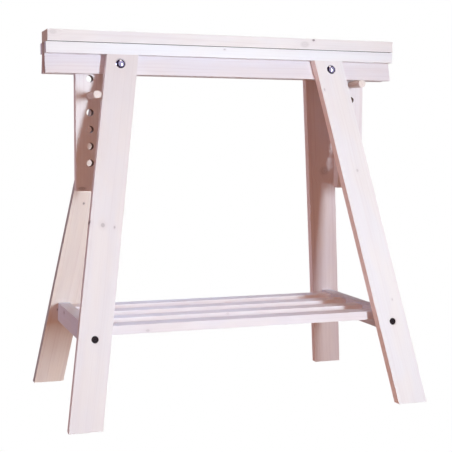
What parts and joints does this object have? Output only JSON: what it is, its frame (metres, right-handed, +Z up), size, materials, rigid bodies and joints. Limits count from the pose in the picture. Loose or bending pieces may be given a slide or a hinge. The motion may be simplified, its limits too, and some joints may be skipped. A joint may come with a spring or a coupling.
{
  "type": "wooden sawhorse",
  "caption": "Height-adjustable wooden trestle: a beam on perforated uprights slides in a splayed frame with a slatted shelf, set by dowel pegs.",
  "frame": {"origin": "centre of the footprint, on the floor that the four feet stand on", "axes": "+X along the beam to the right, -Y to the front, +Z up"},
  "size_m": [0.75, 0.432, 0.7484],
  "materials": {
    "beam_wood": "pine with a thin white glaze, satin",
    "guide_wood": "pine with a thin white glaze, satin",
    "rail_wood": "pine with a thin white glaze, satin",
    "leg_wood": "pine with a thin white glaze, satin",
    "upright_wood": "pine with a thin white glaze, satin",
    "bearer_wood": "pine with a thin white glaze, satin",
    "slat_wood": "pine with a thin white glaze, satin",
    "peg_wood": "turned dowel, thin white glaze, satin",
    "bare_pine": "bare planed pine, matt",
    "chromed_steel": "bright plated domed heads",
    "zinc_steel": "dull zinc plating",
    "black_steel": "blackened, low gloss"
  },
  "bodies": {
    "frame": {"front_guide_board": "guide_wood", "back_guide_board": "guide_wood", "front_wedge_rail": "rail_wood", "back_wedge_rail": "rail_wood", "left_outer_spacer": "bare_pine", "left_outer_spacer_dowel": "bare_pine", "left_inner_spacer": "bare_pine", "left_inner_spacer_dowel": "bare_pine", "centre_spacer": "bare_pine", "centre_spacer_dowel": "bare_pine", "right_inner_spacer": "bare_pine", "right_inner_spacer_dowel": "bare_pine", "right_outer_spacer": "bare_pine", "right_outer_spacer_dowel": "bare_pine", "front_left_leg": "leg_wood", "front_right_leg": "leg_wood", "back_left_leg": "leg_wood", "back_right_leg": "leg_wood", "front_left_leg_bolt": "chromed_steel", "front_left_leg_washer": "zinc_steel", "front_left_leg_nut": "zinc_steel", "front_right_leg_bolt": "chromed_steel", "front_right_leg_washer": "zinc_steel", "front_right_leg_nut": "zinc_steel", "back_left_leg_bolt": "chromed_steel", "back_left_leg_washer": "zinc_steel", "back_left_leg_nut": "zinc_steel", "back_right_leg_bolt": "chromed_steel", "back_right_leg_washer": "zinc_steel", "back_right_leg_nut": "zinc_steel", "left_bearer": "bearer_wood", "left_slat_dowels": "bare_pine", "right_bearer": "bearer_wood", "right_slat_dowels": "bare_pine", "first_slat": "slat_wood", "second_slat": "slat_wood", "third_slat": "slat_wood", "fourth_slat": "slat_wood", "front_left_shelf_bolt": "black_steel", "front_left_barrel_nut": "zinc_steel", "front_right_shelf_bolt": "black_steel", "front_right_barrel_nut": "zinc_steel", "back_left_shelf_bolt": "black_steel", "back_left_barrel_nut": "zinc_steel", "back_right_shelf_bolt": "black_steel", "back_right_barrel_nut": "zinc_steel"},
    "top": {"beam": "beam_wood", "left_upright": "upright_wood", "right_upright": "upright_wood", "left_outer_beam_screw": "zinc_steel", "left_inner_beam_screw": "zinc_steel", "right_outer_beam_screw": "zinc_steel", "right_inner_beam_screw": "zinc_steel"},
    "left_peg": {"left_peg": "peg_wood"},
    "right_peg": {"right_peg": "peg_wood"}
  },
  "joints": [
    {"name": "beam_lift", "type": "slide", "parent": "frame", "child": "top", "axis": [0, 0, 1], "range_m": [0, 0.0017]},
    {"name": "left_peg_pull", "type": "slide", "parent": "top", "child": "left_peg", "axis": [0, -1, 0], "range_m": [0, 0.086]},
    {"name": "right_peg_pull", "type": "slide", "parent": "top", "child": "right_peg", "axis": [0, -1, 0], "range_m": [0, 0.104]}
  ]
}
